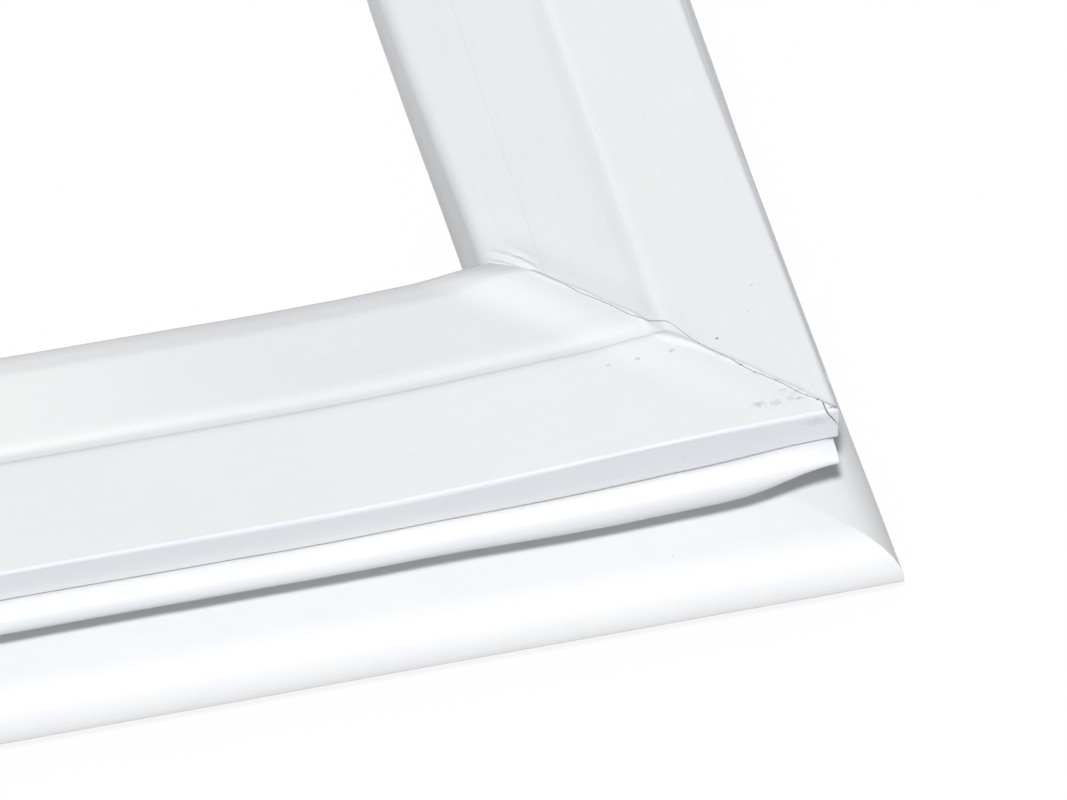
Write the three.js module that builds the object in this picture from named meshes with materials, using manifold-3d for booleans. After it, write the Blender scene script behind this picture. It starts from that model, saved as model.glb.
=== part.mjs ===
// Refrigerator door gasket: four lengths of hollow PVC profile, mitred and welded into one
// rectangular frame, with a flexible magnet strip inside the pocket of each side.
// It lies magnet side up, on the tips of the push-in dart that runs all the way round.
//
// The section is drawn in u and z. u is the distance outward from the pocket's outer wall,
// and z is the height above the dart tips. All sizes are millimetres.
import * as THREE from 'three';
import { mergeVertices } from 'three/addons/utils/BufferGeometryUtils.js';
import Module from 'manifold-3d';

const wasm = await Module();
wasm.setup();

// Frame, measured over the petal tips
const OVERALL_X = 560;
const OVERALL_Y = 360;

// Push-in dart under the base
const DART_INSET = 12;
const DART_DEPTH = 7.3;
const DART_STEM = 1.8;
const DART_NECK = 1.6;
const DART_BARBS = 2;
const DART_BARB_SPAN = 5;
const DART_BARB_TAPER = 0.4;
const DART_BARB_SLOPE = 0.35;
const DART_BARB_ROOT = 0.25;
const DART_TIP = 0.8;

// Base plate and the petal that curls down from its outer edge
const BASE_THICKNESS = 1;
const BASE_SETBACK = 1.5;
const PETAL_REACH = 5.1;
const PETAL_CURL = 4.3;
const PETAL_DROP = 3.1;
const PETAL_THICKNESS = 0.8;

// Bellows between the base and the pocket: one fold inward and one lobe outward
const BELLOWS_HEIGHT = 10.1;
const WALL = 0.65;
const FOOT_INSET = 7.2;
const FOLD_DEPTH = 1.8;
const FOLD_HEIGHT = 3.2;
const LOBE_RADIUS = 1.68;
const LOBE_PROUD = 1.8;
const LOBE_GAP = 0.35;
const LOBE_NECK = 0.7;
const LOBE_START = THREE.MathUtils.degToRad(-140);
const LOBE_END = THREE.MathUtils.degToRad(126);

// Magnet pocket
const POCKET_WIDTH = 12.1;
const POCKET_HEIGHT = 3.6;
const POCKET_TOP_EDGE = 0.45;
const POCKET_BOTTOM_EDGE = 0.35;
const POCKET_WEB = 0.9;

// Crease and the inner panel beside the pocket, with its sloping band and rolled rim
const CREASE_DEPTH = 0.22;
const CREASE_OUTER = 1.3;
const CREASE_INNER = 1.7;
const PANEL_WIDTH = 9.4;
const PANEL_FALL = 0.3;
const BAND_WIDTH = 1.8;
const BAND_FALL = 0.45;
const RIM_REACH = 3.5;
const RIM_HEIGHT = 2.9;
const INNER_BULGE = 1.2;

// Magnet strip and its play in the pocket
const MAGNET_PLAY = 0.3;
const MAGNET_END = 9;

// How the soft sides give away from the stiff corners. The bellows of the long sides settles.
// The short sides stay nearly upright, bow inward as a whole and spread at their inner panel.
const SETTLE_DEPTH = 2.1;
const SHORT_SETTLE_DEPTH = 0.4;
const SHORT_BOW = 0.021;
const SHORT_SPREAD = 0.039;
const SPREAD_LENGTH = 31;
const SETTLE_LENGTH = 46;
const WELD_HOLD = 7;
const LOBE_PINCH = 0.58;
const PINCH_LENGTH = 8.5;
const LOBE_SWELL = 0.1;
const LOBE_SAG = 0.6;
const SAG_FULL = 12;
const SAG_EASE = 18;
const SAG_END = 38;
const STATION_SHARES = [0, 0.17, 0.39, 0.67, 1];

// Welded corners
const BEAD_HEIGHT = 0.14;
const BEAD_WIDTH = 0.5;
const BEAD_OVERRUN = 0.4;
const LOBE_TRIM_RUNNING = 0.3;
const LOBE_TRIM_SHORT = 10;
const SLIT_WIDTH = 0.24;
const SLIT_ALONG = 1.1;
const SLIT_FALL = 1.9;

// Facets
const FACET_TURN = THREE.MathUtils.degToRad(26);
const FACET_LENGTH = 4;

// Levels and places that follow from the sizes above
const baseBottom = DART_DEPTH;
const baseTop = baseBottom + BASE_THICKNESS;
const petalTip = baseBottom - PETAL_DROP;
const pocketBottom = baseTop + BELLOWS_HEIGHT;
const pocketTop = pocketBottom + POCKET_HEIGHT;
const dartU = -DART_INSET;
const footU = -FOOT_INSET;
const foldU = footU - FOLD_DEPTH;
const lobeU = LOBE_PROUD - LOBE_RADIUS;
const lobeZ = pocketBottom - LOBE_GAP - LOBE_RADIUS;
const lobeStartU = lobeU + LOBE_RADIUS * Math.cos(LOBE_START);
const lobeStartZ = lobeZ + LOBE_RADIUS * Math.sin(LOBE_START);
const lobeRootU = lobeU + LOBE_RADIUS * Math.cos(LOBE_END);
const neckU = lobeStartU - LOBE_NECK;
const creaseU = -POCKET_WIDTH;
const panelInnerU = creaseU - PANEL_WIDTH;
const panelInnerZ = pocketTop - PANEL_FALL;
const rimU = panelInnerU - RIM_REACH;
const rimZ = pocketTop - RIM_HEIGHT;
const baseInnerU = rimU + BASE_SETBACK;
const trimReach = LOBE_PROUD + 1;
const bandU = panelInnerU - BAND_WIDTH;
const bandZ = panelInnerZ - BAND_FALL;
const bulge = { u: rimU - INNER_BULGE, z: (baseBottom + rimZ) / 2 };
const halfX = OVERALL_X / 2 - PETAL_REACH;
const halfY = OVERALL_Y / 2 - PETAL_REACH;
const stationDistances = STATION_SHARES.map((share) => share * SETTLE_LENGTH);
const meanSettle = (SETTLE_DEPTH + SHORT_SETTLE_DEPTH) / 2;

// The four sides, taken anticlockwise. along is the way that a side runs, out is outward.
const longSide = { half: halfX, across: halfY, settle: SETTLE_DEPTH, bow: 0, spread: 0 };
const shortSide = {
  half: halfY,
  across: halfX,
  settle: SHORT_SETTLE_DEPTH,
  bow: SHORT_BOW,
  spread: SHORT_SPREAD,
};
const SIDES = {
  front: { ...longSide, along: [1, 0], out: [0, -1] },
  right: { ...shortSide, along: [0, 1], out: [1, 0] },
  back: { ...longSide, along: [-1, 0], out: [0, 1] },
  left: { ...shortSide, along: [0, -1], out: [-1, 0] },
};

// Corners of an outline, each [u, z, radius], joined by lines with rounded turns
function addCorners(path, corners) {
  corners.forEach(([u, z, radius = 0], index) => {
    const here = new THREE.Vector2(u, z);
    const next = corners[index + 1];
    if (radius === 0 || !next) {
      path.lineTo(u, z);
      return;
    }
    const back = path.currentPoint.clone().sub(here).setLength(radius).add(here);
    const ahead = new THREE.Vector2(next[0], next[1]).sub(here).setLength(radius).add(here);
    path.lineTo(back.x, back.y);
    path.quadraticCurveTo(u, z, ahead.x, ahead.y);
  });
}

// Points along a closed path. A facet turns by about FACET_TURN and is FACET_LENGTH at most.
function outlinePoints(path) {
  const points = [];
  for (const curve of path.curves) {
    const straight = curve.isLineCurve;
    const turn = curve.getTangent(0).angleTo(curve.getTangent(1));
    const byTurn = Math.max(2, Math.round(turn / FACET_TURN));
    const byLength = Math.ceil(curve.getLength() / FACET_LENGTH);
    const steps = straight ? 1 : Math.max(byTurn, byLength);
    points.push(...curve.getPoints(steps).slice(0, -1));
  }
  return points.filter((point, index) => {
    const before = points[(index + points.length - 1) % points.length];
    return point.distanceTo(before) > 1e-4;
  });
}

// Half of the dart, from the base down to the tip, on the side given by sign
function dartCorners(sign) {
  const stem = DART_STEM / 2;
  const pitch = (DART_DEPTH - DART_NECK) / DART_BARBS;
  const corners = [[dartU + sign * stem, baseBottom]];
  for (let barb = 0; barb < DART_BARBS; barb += 1) {
    const top = baseBottom - DART_NECK - barb * pitch;
    const span = DART_BARB_SPAN / 2 - barb * DART_BARB_TAPER;
    const last = barb === DART_BARBS - 1;
    const foot = last ? [DART_TIP / 2, 0] : [stem, DART_BARB_ROOT];
    corners.push([dartU + sign * stem, top]);
    corners.push([dartU + sign * span, top - DART_BARB_SLOPE]);
    corners.push([dartU + sign * foot[0], top - pitch + foot[1]]);
  }
  return corners;
}

// The top face from the pocket's outer edge in to the rim, raised by lift
function addTopFace(path, lift) {
  const top = pocketTop + lift;
  path.lineTo(creaseU + CREASE_OUTER, top);
  path.quadraticCurveTo(creaseU + CREASE_OUTER / 3, top, creaseU, top - CREASE_DEPTH);
  path.lineTo(creaseU - CREASE_INNER, top);
  path.lineTo(panelInnerU, panelInnerZ + lift);
}

// The outside of the profile, anticlockwise from the dart's tip
function profileOutline() {
  const path = new THREE.Path();
  const rightDart = dartCorners(1).reverse();
  path.moveTo(rightDart[0][0], rightDart[0][1]);
  addCorners(path, rightDart.slice(1));
  const petalRootU = PETAL_REACH - PETAL_CURL;
  const innerCurl = PETAL_CURL - PETAL_THICKNESS;
  const outerRise = baseTop - petalTip;
  path.lineTo(petalRootU, baseBottom);
  path.absellipse(petalRootU, petalTip, innerCurl, PETAL_DROP, Math.PI / 2, 0, true);
  path.lineTo(PETAL_REACH, petalTip);
  path.absellipse(petalRootU, petalTip, PETAL_CURL, outerRise, 0, Math.PI / 2, false);
  addCorners(path, [
    [footU, baseTop, 0.5],
    [foldU, baseTop + FOLD_HEIGHT, 0.5],
    [neckU, lobeStartZ - 0.2, 0.3],
    [lobeStartU, lobeStartZ],
  ]);
  path.absarc(lobeU, lobeZ, LOBE_RADIUS, LOBE_START, 0, false);
  path.absarc(lobeU, lobeZ, LOBE_RADIUS, 0, LOBE_END, false);
  addCorners(path, [
    [lobeRootU, pocketBottom],
    [0, pocketBottom, POCKET_BOTTOM_EDGE],
    [0, pocketTop, POCKET_TOP_EDGE],
    [-POCKET_TOP_EDGE, pocketTop],
  ]);
  addTopFace(path, 0);
  path.lineTo(bandU, bandZ);
  path.quadraticCurveTo(rimU, bandZ - BAND_FALL, rimU, rimZ);
  path.quadraticCurveTo(bulge.u, bulge.z, baseInnerU, baseTop);
  addCorners(path, [[baseInnerU, baseBottom, 0.4], ...dartCorners(-1)]);
  path.closePath();
  return outlinePoints(path);
}

// The bellows chamber: under the pocket and the inner panel, and into the lobe
function chamberOutline() {
  const path = new THREE.Path();
  const boreRadius = LOBE_RADIUS - WALL;
  const boreStartU = lobeU + boreRadius * Math.cos(LOBE_START);
  const boreStartZ = lobeZ + boreRadius * Math.sin(LOBE_START);
  const boreEndZ = lobeZ + boreRadius * Math.sin(LOBE_END);
  const footInset = 1.2 * WALL;
  const foldInset = 1.75 * WALL;
  path.moveTo((baseInnerU + footU) / 2, baseTop);
  addCorners(path, [
    [footU - footInset, baseTop, 0.4],
    [foldU - foldInset, baseTop + FOLD_HEIGHT + WALL / 3, 0.6],
    [neckU - WALL / 2, boreStartZ - 0.1, 0.3],
    [boreStartU, boreStartZ],
  ]);
  path.absarc(lobeU, lobeZ, boreRadius, LOBE_START, 0, false);
  path.absarc(lobeU, lobeZ, boreRadius, 0, LOBE_END, false);
  addCorners(path, [
    [lobeRootU - WALL, boreEndZ, 0.3],
    [lobeRootU - 1.4 * WALL, pocketBottom, 0.3],
    [creaseU, pocketBottom, 0.3],
    [creaseU - CREASE_INNER / 3, pocketTop - 1.4 * WALL, 0.4],
    [panelInnerU, panelInnerZ - WALL],
    [bandU + WALL / 3, bandZ - WALL],
  ]);
  path.quadraticCurveTo(rimU + WALL, bandZ - BAND_FALL - WALL / 3, rimU + WALL, rimZ);
  path.quadraticCurveTo(bulge.u + WALL, bulge.z, baseInnerU + WALL, baseTop + 0.3);
  path.closePath();
  return outlinePoints(path);
}

// The magnet pocket's bore, or the strip inside it when inset is the play
function pocketOutline(inset) {
  const path = new THREE.Path();
  const low = pocketBottom + WALL + inset;
  const high = pocketTop - WALL - inset;
  const outer = -WALL - inset;
  const inner = creaseU + POCKET_WEB + inset;
  path.moveTo(inner, low);
  addCorners(path, [[outer, low], [outer, high], [inner, high]]);
  path.closePath();
  return outlinePoints(path);
}

// A level with the lobe's own give: pinched at its end, swollen and sagging behind it.
// The wall between the fold and the lobe takes a share of it, and so does the pocket's floor.
function lobeLevel(u, z, fromCorner) {
  const { smoothstep } = THREE.MathUtils;
  const share = smoothstep(u, foldU, lobeStartU);
  const rising = smoothstep(fromCorner, 0, SAG_FULL);
  const behind = rising * (1 - smoothstep(fromCorner, SAG_EASE, SAG_END));
  const pinch = LOBE_PINCH * (1 - smoothstep(fromCorner, 0, PINCH_LENGTH));
  const lobeTop = lobeZ + LOBE_RADIUS;
  let level = z;
  if (z > baseTop && z < lobeTop) {
    level = lobeTop - (lobeTop - z) * (1 - share * (pinch - LOBE_SWELL * behind));
  }
  const floorShare = 1 - smoothstep(z, pocketBottom, pocketBottom + WALL);
  const sagging = share * behind * floorShare * smoothstep(z, baseTop, baseTop + FOLD_HEIGHT);
  return level - LOBE_SAG * sagging;
}

// A section point at a station: s is the signed share of the half side, 1 at the mitre.
// The bellows settles with the distance from the corner. The weld holds it up, short of the rim.
function placePoint(point, side, s) {
  const { smoothstep } = THREE.MathUtils;
  const run = s * (side.half + point.x);
  const fromCorner = side.half - Math.abs(run);
  const fromWeld = (1 - Math.abs(s)) * (side.half + point.x);
  const level = lobeLevel(point.x, point.y, fromCorner);
  const yielding = THREE.MathUtils.clamp((point.y - baseTop) / BELLOWS_HEIGHT, 0, 1);
  const held = smoothstep(point.x, rimU, panelInnerU) * (1 - smoothstep(fromWeld, 0, WELD_HOLD));
  const settled = yielding * smoothstep(fromCorner, 0, SETTLE_LENGTH) * (1 - held);
  const ownGive = smoothstep(fromWeld, 0, WELD_HOLD);
  const z = level - settled * THREE.MathUtils.lerp(meanSettle, side.settle, ownGive);
  const bow = side.bow * Math.min(fromWeld, SETTLE_LENGTH);
  const inside = 1 - smoothstep(point.x, rimU, creaseU);
  const spread = side.spread * Math.min(fromWeld, SPREAD_LENGTH) * inside * yielding;
  const out = side.across + point.x - bow - spread;
  return [
    side.along[0] * run + side.out[0] * out,
    side.along[1] * run + side.out[1] * out,
    z,
  ];
}

// Stations along one side, from the start mitre to the end, at these distances from each corner
function sideStations(side, distances) {
  const shares = distances.map((distance) => 1 - distance / side.half);
  const start = shares.map((share) => ({ side, s: -share }));
  const end = shares.map((share) => ({ side, s: share })).reverse();
  return [...start, ...end];
}

// An outline swept through stations: a closed loop, or a length with flat ends
function sweep(outline, stations, closed) {
  const count = outline.length;
  const rings = stations.length;
  const positions = [];
  for (const { side, s } of stations) {
    for (const point of outline) {
      positions.push(...placePoint(point, side, s));
    }
  }
  const index = [];
  const steps = closed ? rings : rings - 1;
  for (let ring = 0; ring < steps; ring += 1) {
    const here = ring * count;
    const there = ((ring + 1) % rings) * count;
    for (let i = 0; i < count; i += 1) {
      const j = (i + 1) % count;
      index.push(here + i, there + j, here + j);
      index.push(here + i, there + i, there + j);
    }
  }
  if (!closed) {
    const last = (rings - 1) * count;
    for (const [a, b, c] of THREE.ShapeUtils.triangulateShape(outline, [])) {
      index.push(a, b, c);
      index.push(last + a, last + c, last + b);
    }
  }
  const geometry = new THREE.BufferGeometry();
  geometry.setAttribute('position', new THREE.Float32BufferAttribute(positions, 3));
  geometry.setIndex(index);
  return geometry;
}

function toSolid(geometry) {
  const bare = geometry.clone();
  bare.deleteAttribute('normal');
  bare.deleteAttribute('uv');
  const merged = mergeVertices(bare, 1e-5);
  return new wasm.Manifold(new wasm.Mesh({
    numProp: 3,
    vertProperties: new Float32Array(merged.attributes.position.array),
    triVerts: new Uint32Array(merged.index.array),
  }));
}

function toGeometry(solid) {
  const mesh = solid.getMesh();
  const geometry = new THREE.BufferGeometry();
  geometry.setAttribute('position', new THREE.BufferAttribute(mesh.vertProperties, 3));
  geometry.setIndex(new THREE.BufferAttribute(mesh.triVerts, 1));
  geometry.computeVertexNormals();
  return geometry;
}

function loopSweep(outline) {
  const stations = Object.values(SIDES).flatMap((side) => {
    const whole = sideStations(side, stationDistances);
    return whole.slice(0, -1);
  });
  return toSolid(sweep(outline, stations, true));
}

// The weld's flash: a low ridge over the mitre between one side's end and the next one's start
function weldBead(side, next) {
  const path = new THREE.Path();
  const beadEndU = panelInnerU - BEAD_OVERRUN;
  path.moveTo(-POCKET_TOP_EDGE, pocketTop + BEAD_HEIGHT);
  addTopFace(path, BEAD_HEIGHT);
  path.lineTo(beadEndU, panelInnerZ + BEAD_HEIGHT / 3);
  path.lineTo(beadEndU, panelInnerZ - WALL / 2);
  path.lineTo(panelInnerU, panelInnerZ - WALL / 2);
  path.lineTo(creaseU, pocketTop - CREASE_DEPTH - WALL / 3);
  path.lineTo(-POCKET_TOP_EDGE, pocketTop - WALL / 3);
  path.closePath();
  const half = BEAD_WIDTH / 2;
  const stations = [
    { side, s: 1 - half / side.half },
    { side: next, s: -1 },
    { side: next, s: half / next.half - 1 },
  ];
  return toSolid(sweep(outlinePoints(path), stations, false));
}

// A box between two corners, turned to the frame's corner that signX and signY name
function cornerBox(low, high, signX, signY) {
  const size = new THREE.Vector3().subVectors(high, low);
  const box = new THREE.BoxGeometry(size.x, size.y, size.z);
  const middle = new THREE.Vector3().addVectors(low, high).multiplyScalar(0.5);
  box.translate(signX * (halfX + middle.x), signY * (halfY + middle.y), middle.z);
  return toSolid(box);
}

// The lobe is trimmed square at each corner, which also opens the chamber. The front and back
// lobes run nearly to the corner.
function runningTrim(signX, signY) {
  return cornerBox(
    new THREE.Vector3(-LOBE_TRIM_RUNNING, -LOBE_TRIM_RUNNING, lobeZ - LOBE_RADIUS - 0.6),
    new THREE.Vector3(trimReach, trimReach, pocketBottom - LOBE_GAP / 2),
    signX,
    signY,
  );
}

// The left and right lobes stop short of the corner. end is -1 at a side's start, 1 at its end.
function shortTrim(side, end) {
  const path = new THREE.Path();
  const low = lobeZ - LOBE_RADIUS - 0.6;
  const high = pocketBottom - LOBE_GAP / 2;
  path.moveTo(lobeRootU, low);
  addCorners(path, [[trimReach, low], [trimReach, high], [lobeRootU, high]]);
  path.closePath();
  const distances = [LOBE_TRIM_SHORT, stationDistances[1], 0];
  const stations = distances.map((distance) => ({ side, s: end * (1 - distance / side.half) }));
  return toSolid(sweep(outlinePoints(path), end < 0 ? stations.reverse() : stations, false));
}

// The slit left beside the weld at the pocket's tip, which opens the pocket's bore
function tipSlit(signX, signY) {
  const length = Math.hypot(SLIT_ALONG, SLIT_FALL) + 1;
  const depth = 2 * WALL;
  const slit = new THREE.BoxGeometry(length, 2 * depth, SLIT_WIDTH);
  slit.rotateY(Math.atan2(SLIT_FALL, SLIT_ALONG) * signX);
  slit.translate(
    signX * (halfX - SLIT_ALONG / 2),
    signY * halfY,
    pocketTop - SLIT_FALL / 2,
  );
  return toSolid(slit);
}

function gasketFrame() {
  let solid = loopSweep(profileOutline());
  solid = solid.subtract(loopSweep(chamberOutline()));
  solid = solid.subtract(loopSweep(pocketOutline(0)));
  const sides = Object.values(SIDES);
  sides.forEach((side, index) => {
    solid = solid.add(weldBead(side, sides[(index + 1) % sides.length]));
  });
  for (const signX of [-1, 1]) {
    for (const signY of [-1, 1]) {
      solid = solid.subtract(runningTrim(signX, signY));
      solid = solid.subtract(tipSlit(signX, signY));
    }
  }
  for (const side of [SIDES.left, SIDES.right]) {
    solid = solid.subtract(shortTrim(side, -1));
    solid = solid.subtract(shortTrim(side, 1));
  }
  return toGeometry(solid);
}

function magnetStrip(side) {
  const distances = [MAGNET_END, ...stationDistances.filter((distance) => distance > MAGNET_END)];
  const geometry = sweep(pocketOutline(MAGNET_PLAY), sideStations(side, distances), false);
  geometry.computeVertexNormals();
  return geometry;
}

const whitePvc = new THREE.MeshStandardMaterial({
  name: 'white_pvc',
  color: 0xf0f1f2,
  roughness: 0.38,
  metalness: 0,
});

const magnetRubber = new THREE.MeshStandardMaterial({
  name: 'magnet_rubber',
  color: 0x3a3531,
  roughness: 0.7,
  metalness: 0,
});

function namedMesh(name, geometry, material) {
  const mesh = new THREE.Mesh(geometry, material);
  mesh.name = name;
  return mesh;
}

const gasket = new THREE.Group();
gasket.name = 'refrigerator_door_gasket';
gasket.add(namedMesh('gasket_frame', gasketFrame(), whitePvc));
for (const [name, side] of Object.entries(SIDES)) {
  gasket.add(namedMesh(`magnet_strip_${name}`, magnetStrip(side), magnetRubber));
}

export default gasket;
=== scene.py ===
import math

import bmesh
import bpy
import numpy as np
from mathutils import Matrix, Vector


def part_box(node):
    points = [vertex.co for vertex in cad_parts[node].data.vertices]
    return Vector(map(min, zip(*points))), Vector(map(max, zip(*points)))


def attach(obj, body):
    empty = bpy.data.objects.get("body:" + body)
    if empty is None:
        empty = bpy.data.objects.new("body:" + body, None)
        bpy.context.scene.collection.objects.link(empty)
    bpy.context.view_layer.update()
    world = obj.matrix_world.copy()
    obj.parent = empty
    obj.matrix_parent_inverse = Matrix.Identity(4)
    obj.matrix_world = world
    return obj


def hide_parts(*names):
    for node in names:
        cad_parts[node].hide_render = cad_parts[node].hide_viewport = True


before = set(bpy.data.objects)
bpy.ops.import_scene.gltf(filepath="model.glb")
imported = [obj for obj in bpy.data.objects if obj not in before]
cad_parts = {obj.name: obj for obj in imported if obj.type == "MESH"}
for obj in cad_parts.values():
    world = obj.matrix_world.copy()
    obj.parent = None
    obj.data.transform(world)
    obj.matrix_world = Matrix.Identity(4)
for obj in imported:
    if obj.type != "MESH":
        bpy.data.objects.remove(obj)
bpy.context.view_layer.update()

bl_info = {
    "name": "Door gasket",
    "version": (1, 1, 0),
    "blender": (4, 5, 0),
    "location": "3D View > Sidebar > Gasket",
    "description": "Builds a welded magnetic door gasket, its finishes and its stage",
    "category": "Add Mesh",
}

FRAME_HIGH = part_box("gasket_frame")[1]
MM = 0.001
MAGNET_NODES = ("magnet_strip_front", "magnet_strip_right", "magnet_strip_back", "magnet_strip_left")

# Front, right, back and left: the way each side runs, and its way out of the frame
SIDES = (
    {"along": (1, 0), "out": (0, -1)},
    {"along": (0, 1), "out": (1, 0)},
    {"along": (-1, 0), "out": (0, 1)},
    {"along": (0, -1), "out": (-1, 0)},
)

# The corner between the front and the right side, which carries the most marks
FIRST_CORNER = 1


class GasketProfile(bpy.types.PropertyGroup):
    """Sizes of the extruded section. They repeat the solid's sizes."""

    petal_reach: bpy.props.FloatProperty(
        name="Petal reach", description="How far the petal reaches past the pocket wall",
        default=5.1 * MM, unit="LENGTH")
    petal_drop: bpy.props.FloatProperty(
        name="Petal drop", description="How far the petal's tip hangs below the base",
        default=3.1 * MM, unit="LENGTH")
    dart_depth: bpy.props.FloatProperty(
        name="Dart depth", description="Height of the push-in dart under the base",
        default=7.3 * MM, unit="LENGTH")
    base_thickness: bpy.props.FloatProperty(
        name="Base thickness", description="Thickness of the base plate",
        default=1.0 * MM, unit="LENGTH")
    wall: bpy.props.FloatProperty(
        name="Wall", description="Wall thickness of the bellows",
        default=0.65 * MM, unit="LENGTH")
    bellows_height: bpy.props.FloatProperty(
        name="Bellows height", description="Height from the base to the pocket",
        default=10.1 * MM, unit="LENGTH")
    lobe_radius: bpy.props.FloatProperty(
        name="Lobe radius", description="Radius of the sealing lobe under the pocket",
        default=1.68 * MM, unit="LENGTH")
    pocket_width: bpy.props.FloatProperty(
        name="Pocket width", description="Width of the magnet pocket",
        default=12.1 * MM, unit="LENGTH")
    pocket_height: bpy.props.FloatProperty(
        name="Pocket height", description="Height of the magnet pocket",
        default=3.6 * MM, unit="LENGTH")
    settle_long: bpy.props.FloatProperty(
        name="Settling, long sides", description="How far the bellows sinks away from the corners",
        default=2.1 * MM, unit="LENGTH")
    settle_short: bpy.props.FloatProperty(
        name="Settling, short sides", description="How far the bellows sinks away from the corners",
        default=0.4 * MM, unit="LENGTH")
    weld_height: bpy.props.FloatProperty(
        name="Weld height", description="Height of the weld's ridge over the top face",
        default=0.11 * MM, unit="LENGTH")
    ripple: bpy.props.FloatProperty(
        name="Ripple", description="Unevenness of the soft walls",
        default=0.06 * MM, unit="LENGTH")


class GasketFinish(bpy.types.PropertyGroup):
    """Colours of the finishes, and the pocket's paler colour, which is painted light."""

    pvc_colour: bpy.props.FloatVectorProperty(
        name="PVC", description="Colour of the bare PVC", subtype="COLOR",
        default=(0.855, 0.858, 0.864), min=0, max=1)
    # The pocket's colour is paler than the bare PVC: painted light on the magnet pocket, not a colour
    # of its own.
    lit_pocket_colour: bpy.props.FloatVectorProperty(
        name="Pocket", description="Colour of the PVC on the magnet pocket",
        subtype="COLOR", default=(0.885, 0.883, 0.884), min=0, max=1)
    # This colour also paints the shade in the weld's crack and along the flash's edge.
    grime_and_shade_colour: bpy.props.FloatVectorProperty(
        name="Grime", description="Colour of the specks and of the dirt along the weld",
        subtype="COLOR", default=(0.10, 0.12, 0.13), min=0, max=1)
    magnet_colour: bpy.props.FloatVectorProperty(
        name="Magnet", description="Colour of the ferrite-filled magnet strip",
        subtype="COLOR", default=(0.04, 0.036, 0.031), min=0, max=1)


class GasketStage(bpy.types.PropertyGroup):
    """Floor, lights and camera."""

    floor_size: bpy.props.FloatProperty(
        name="Floor size", description="Side of the square floor",
        default=8.0, unit="LENGTH")
    key_strength: bpy.props.FloatProperty(
        name="Key", description="Strength of the key light", default=2.85)
    fill_strength: bpy.props.FloatProperty(
        name="Fill", description="Strength of the light from all round", default=0.26)
    camera_azimuth: bpy.props.FloatProperty(
        name="Azimuth", description="Camera's angle about the vertical",
        default=math.radians(-13.045), subtype="ANGLE")
    camera_elevation: bpy.props.FloatProperty(
        name="Elevation", description="Camera's angle above the floor",
        default=math.radians(48.766), subtype="ANGLE")
    camera_distance: bpy.props.FloatProperty(
        name="Distance", description="Camera's distance from the plane of the near corner",
        default=500 * MM, unit="LENGTH")
    view_width: bpy.props.FloatProperty(
        name="View width", description="Width that the view takes in at that distance",
        default=88.92 * MM, unit="LENGTH")


# Sizes that no user changes, in millimetres
PETAL_CURL = 4.3
PETAL_THICKNESS = 0.8
PETAL_FALL = 0.3
PETAL_FALL_START = 7.0
DART_INSET = 12.0
DART_STEM = 1.8
DART_NECK = 1.6
DART_BARBS = 2
DART_BARB_SPAN = 5.0
DART_BARB_TAPER = 0.4
DART_BARB_SLOPE = 0.35
DART_BARB_ROOT = 0.25
DART_TIP = 0.8
FOOT_INSET = 7.2
FOLD_DEPTH = 1.8
FOLD_HEIGHT = 3.2
LOBE_PROUD = 1.8
LOBE_GAP = 0.35
LOBE_NECK = 0.7
LOBE_START = math.radians(-140)
LOBE_END = math.radians(126)
POCKET_TOP_EDGE = 0.45
POCKET_BOTTOM_EDGE = 0.35
POCKET_WEB = 0.9
CREASE_DEPTH = 0.22
CREASE_OUTER = 1.3
CREASE_INNER = 1.7
PANEL_WIDTH = 9.4
PANEL_FALL = 0.3
BAND_WIDTH = 1.8
BAND_FALL = 0.45
RIM_REACH = 3.5
RIM_HEIGHT = 2.9
INNER_BULGE = 1.2
BASE_SETBACK = 1.5

# How the soft sides give away from the stiff corners
SETTLE_LENGTH = 46.0
WELD_HOLD = 7.0
SHORT_BOW = 0.021
SHORT_SPREAD = 0.039
SPREAD_LENGTH = 31.0
LOBE_PINCH = 0.58
PINCH_LENGTH = 8.5
LOBE_SWELL = 0.1
LOBE_SAG = 0.6
SAG_FULL = 12.0
SAG_EASE = 18.0
SAG_END = 38.0

# Welded corners
LOBE_TRIM_RUNNING = 0.3
LOBE_TRIM_SHORT = 10.0
SLIT_WIDTH = 0.12
SLIT_ALONG = 1.1
SLIT_FALL = 1.9
WELD_WIDTH = 0.2
WELD_WANDERS = ((0.55, 0.9, 0.10), (1.6, 2.1, 0.06))
FLASH_PLACE = -11.5
FLASH_LENGTH = 1.3
FLASH_SHIFT = 0.75
FLASH_HEIGHT = 0.16
FOLD_HEIGHT_AT_RIM = 0.14
FOLD_SPREAD = 2.6

# Fineness of the sweep: the longest facet on the top face and elsewhere, and its largest turn
TOP_PITCH = 0.45
WALL_PITCH = 1.6
FACET_TURN = math.radians(9)
STATION_START = 0.11
STATION_GROWTH = 1.2
STATION_NEAR = 4.5
NEAR_END = 75.0
STATION_LONGEST = 14.0


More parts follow.
